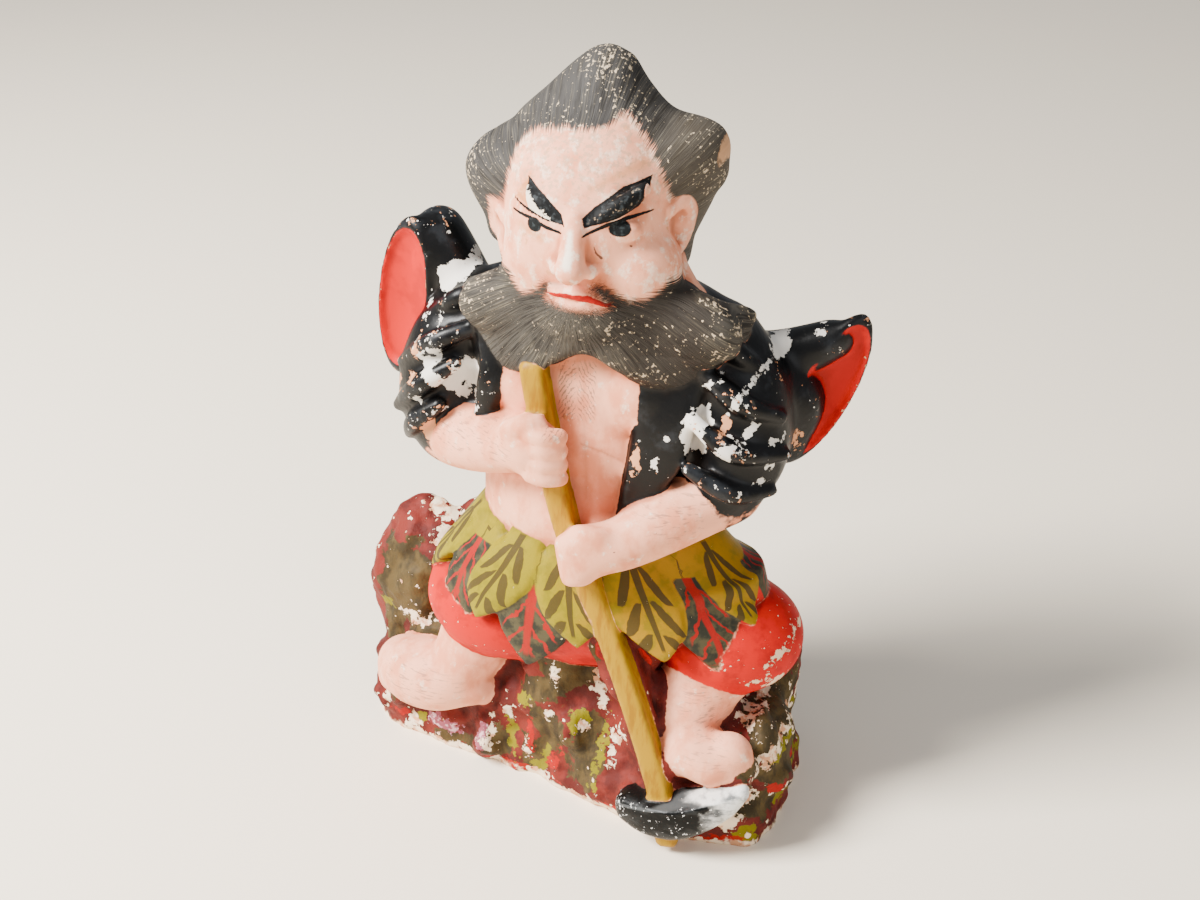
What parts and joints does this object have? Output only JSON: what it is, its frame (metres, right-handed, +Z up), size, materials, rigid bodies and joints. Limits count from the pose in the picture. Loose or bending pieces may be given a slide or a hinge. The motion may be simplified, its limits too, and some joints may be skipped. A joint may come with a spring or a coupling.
{
  "type": "clay doll",
  "caption": "Press-moulded painted clay figure of a bearded strong man in a leaf skirt, leaning on an axe on a rock, with raised sleeves and a flat underside to stand on",
  "frame": {"origin": "on the flat underside of the rock, under the middle of the figure", "axes": "+Z up, the doll's front faces -Y, +X is to the right of someone who looks at its front"},
  "size_m": [0.1616, 0.0864, 0.2347],
  "materials": {
    "painted_clay": "matt mineral paint over white gesso on fired clay, brushed by hand and chipped on the raised edges"
  },
  "bodies": {
    "root": {"clay_doll": "painted_clay"}
  },
  "joints": []
}
